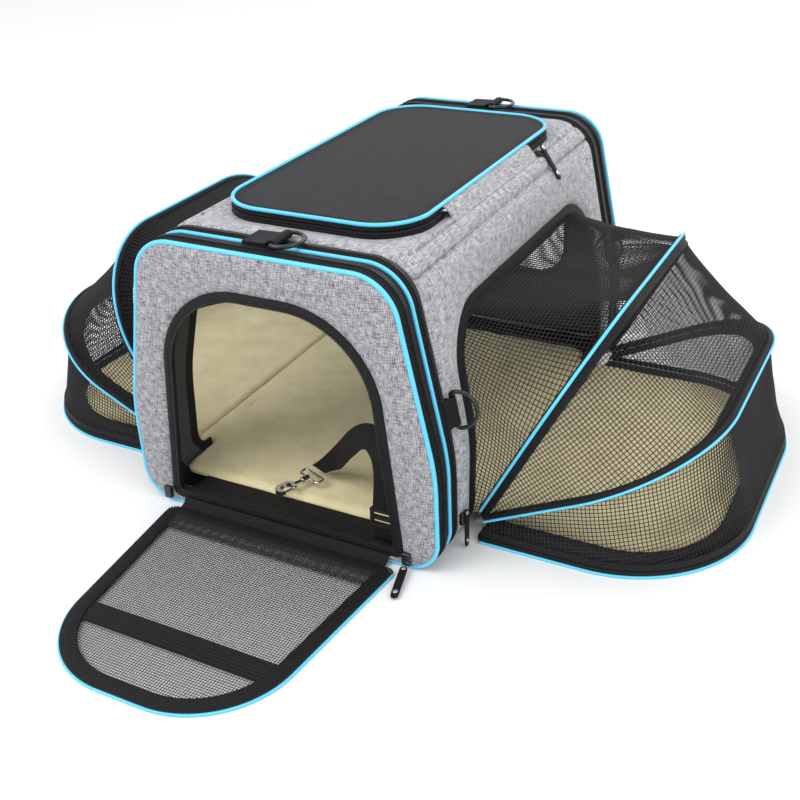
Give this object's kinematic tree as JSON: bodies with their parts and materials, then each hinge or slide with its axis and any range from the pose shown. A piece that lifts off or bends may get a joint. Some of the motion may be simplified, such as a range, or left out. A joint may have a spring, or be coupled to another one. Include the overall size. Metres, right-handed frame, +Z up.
{
  "type": "pet carrier bag",
  "caption": "Soft-sided pet carrier bag with a drop-down mesh front door, a mesh roof lid, fold-out mesh fans on both sides and a fleece mat.",
  "frame": {"origin": "middle of the body's base, on the floor", "axes": "+X to the body's right-hand fan as the front door is faced, -Y out of the front door, +Z up"},
  "size_m": [0.726, 0.6913, 0.266],
  "materials": {
    "grey_fabric": "heathered woven polyester",
    "black_webbing": "ribbed zip tape and binding",
    "black_net": "knotted polyester net",
    "blue_piping": "smooth light blue piping",
    "tan_fleece": "short fleece",
    "spring_wire": "drawn",
    "board": "matt",
    "black_metal": "black enamel",
    "black_plastic": "moulded",
    "nickel": "polished nickel plate"
  },
  "bodies": {
    "carrier": {"base_panel": "grey_fabric", "base_board": "board", "center_mat": "tan_fleece", "right_side_panel": "grey_fabric", "left_side_panel": "grey_fabric", "top_panel": "grey_fabric", "front_panel": "grey_fabric", "front_zip_band": "black_webbing", "front_edge_band": "black_webbing", "rear_zip_band": "black_webbing", "rear_panel": "grey_fabric", "rear_window_mesh": "black_net", "body_pipings": "blue_piping", "end_frame_wires": "spring_wire", "front_opening_binding": "black_webbing", "right_opening_binding": "black_webbing", "left_opening_binding": "black_webbing", "lid_zip_strip": "black_webbing", "lid_hinge": "grey_fabric", "ring_tabs": "black_webbing", "tether_anchor": "black_webbing", "tether_adjuster": "black_plastic", "tether_strap": "black_webbing", "tether_swivel": "nickel", "right_net_1": "black_net", "left_net_1": "black_net"},
    "front_door": {"door_binding": "black_webbing", "door_mesh": "black_net", "door_strap": "black_webbing"},
    "lid": {"lid_binding": "black_webbing", "lid_mesh": "black_net"},
    "right_hoop_a": {"right_hoop_1": "black_webbing", "right_net_2": "black_net"},
    "right_hoop_b": {"right_hoop_2": "black_webbing", "right_net_3": "black_net"},
    "right_fan_floor": {"right_floor_board": "board", "right_floor_binding": "black_webbing", "right_mat_wing": "tan_fleece"},
    "left_hoop_a": {"left_hoop_1": "black_webbing", "left_net_2": "black_net"},
    "left_hoop_b": {"left_hoop_2": "black_webbing", "left_net_3": "black_net"},
    "left_fan_floor": {"left_floor_board": "board", "left_floor_binding": "black_webbing", "left_mat_wing": "tan_fleece"},
    "front_top_ring": {"front_top_ring": "black_metal"},
    "rear_top_ring": {"rear_top_ring": "black_metal"},
    "right_front_ring": {"right_front_ring": "black_metal"},
    "left_front_ring": {"left_front_ring": "black_metal"},
    "right_rear_ring": {"right_rear_ring": "black_metal"},
    "left_rear_ring": {"left_rear_ring": "black_metal"},
    "door_right_slider": {"door_right_slider": "black_metal"},
    "door_left_slider": {"door_left_slider": "black_metal"},
    "door_pull": {"door_pull": "black_webbing"},
    "side_slider": {"side_slider": "black_metal"},
    "side_pull": {"side_pull": "black_webbing"},
    "lid_slider": {"lid_slider": "black_metal"},
    "lid_pull": {"lid_pull": "black_webbing"},
    "hook_body": {"hook_body": "nickel"},
    "hook_bolt": {"hook_bolt": "nickel"}
  },
  "joints": [
    {"name": "front_door_hinge", "type": "hinge", "parent": "carrier", "child": "front_door", "pos_m": [0, -0.236, 0.003], "axis": [-1, 0, 0], "range_deg": [0, 90]},
    {"name": "lid_hinge", "type": "hinge", "parent": "carrier", "child": "lid", "pos_m": [0.094, 0, 0.267], "axis": [0, 1, 0], "range_deg": [0, 150]},
    {"name": "right_fan_fold", "type": "hinge", "parent": "carrier", "child": "right_hoop_a", "pos_m": [0.153, 0, 0.018], "axis": [0, -1, 0], "range_deg": [0, 28], "deforming": ["right_net_1"]},
    {"name": "right_hoop_b_fold", "type": "hinge", "parent": "right_hoop_a", "child": "right_hoop_b", "pos_m": [0.153, 0, 0.018], "axis": [0, -1, 0], "range_deg": [0, 36], "deforming": ["right_net_2"]},
    {"name": "right_floor_fold", "type": "hinge", "parent": "right_hoop_b", "child": "right_fan_floor", "pos_m": [0.153, 0, 0.018], "axis": [0, -1, 0], "range_deg": [0, 26], "deforming": ["right_net_3"]},
    {"name": "left_fan_fold", "type": "hinge", "parent": "carrier", "child": "left_hoop_a", "pos_m": [-0.153, 0, 0.018], "axis": [0, 1, 0], "range_deg": [0, 28], "deforming": ["left_net_1"]},
    {"name": "left_hoop_b_fold", "type": "hinge", "parent": "left_hoop_a", "child": "left_hoop_b", "pos_m": [-0.153, 0, 0.018], "axis": [0, 1, 0], "range_deg": [0, 36], "deforming": ["left_net_2"]},
    {"name": "left_floor_fold", "type": "hinge", "parent": "left_hoop_b", "child": "left_fan_floor", "pos_m": [-0.153, 0, 0.018], "axis": [0, 1, 0], "range_deg": [0, 26], "deforming": ["left_net_3"]},
    {"name": "front_top_ring_swing", "type": "hinge", "parent": "carrier", "child": "front_top_ring", "pos_m": [0.006, -0.203, 0.262], "axis": [0, -1, 0], "range_deg": [0, 150]},
    {"name": "rear_top_ring_swing", "type": "hinge", "parent": "carrier", "child": "rear_top_ring", "pos_m": [0.006, 0.21625, 0.262], "axis": [0, -1, 0], "range_deg": [0, 150]},
    {"name": "right_front_ring_swing", "type": "hinge", "parent": "carrier", "child": "right_front_ring", "pos_m": [0.14345, -0.186, 0.13176], "axis": [0.202, 0, -0.9794], "range_deg": [0, 70]},
    {"name": "right_rear_ring_swing", "type": "hinge", "parent": "carrier", "child": "right_rear_ring", "pos_m": [0.14345, 0.186, 0.13176], "axis": [-0.202, 0, 0.9794], "range_deg": [0, 70]},
    {"name": "left_front_ring_swing", "type": "hinge", "parent": "carrier", "child": "left_front_ring", "pos_m": [-0.14345, -0.186, 0.13176], "axis": [0.202, 0, 0.9794], "range_deg": [0, 70]},
    {"name": "left_rear_ring_swing", "type": "hinge", "parent": "carrier", "child": "left_rear_ring", "pos_m": [-0.14345, 0.186, 0.13176], "axis": [-0.202, 0, -0.9794], "range_deg": [0, 70]},
    {"name": "door_right_slider_travel", "type": "slide", "parent": "carrier", "child": "door_right_slider", "axis": [-0.0922, 0, 0.9957], "range_m": [0, 0.11]},
    {"name": "door_left_slider_travel", "type": "slide", "parent": "carrier", "child": "door_left_slider", "axis": [0.0922, 0, 0.9957], "range_m": [0, 0.11]},
    {"name": "door_pull_swing", "type": "hinge", "parent": "door_right_slider", "child": "door_pull", "pos_m": [0.121, -0.24075, 0.006], "axis": [-0.9744, -0.225, 0], "range_deg": [0, 75]},
    {"name": "side_slider_travel", "type": "slide", "parent": "carrier", "child": "side_slider", "axis": [0, 0, 1], "range_m": [0, 0.038]},
    {"name": "side_pull_swing", "type": "hinge", "parent": "side_slider", "child": "side_pull", "pos_m": [0.1532, -0.186, 0.036], "axis": [0, -1, 0], "range_deg": [0, 58]},
    {"name": "lid_slider_travel", "type": "slide", "parent": "carrier", "child": "lid_slider", "axis": [0, 1, 0], "range_m": [0, 0.03]},
    {"name": "lid_pull_swing", "type": "hinge", "parent": "lid_slider", "child": "lid_pull", "pos_m": [0.10674, 0.094, 0.25905], "axis": [0, -1, 0], "range_deg": [0, 58]},
    {"name": "hook_swivel", "type": "hinge", "parent": "carrier", "child": "hook_body", "pos_m": [-0.00665, -0.18406, 0.025], "axis": [-0.3875, -0.9219, 0], "continuous": true},
    {"name": "hook_bolt_slide", "type": "slide", "parent": "hook_body", "child": "hook_bolt", "axis": [0.3875, 0.9219, 0], "range_m": [0, 0.004], "stiffness_N_per_m": 60}
  ],
  "couplings": [
    {"joint": "right_hoop_b_fold", "follows": "right_fan_fold", "ratio": 1.2857},
    {"joint": "right_floor_fold", "follows": "right_fan_fold", "ratio": 0.92857},
    {"joint": "left_hoop_b_fold", "follows": "left_fan_fold", "ratio": 1.2857},
    {"joint": "left_floor_fold", "follows": "left_fan_fold", "ratio": 0.92857}
  ]
}
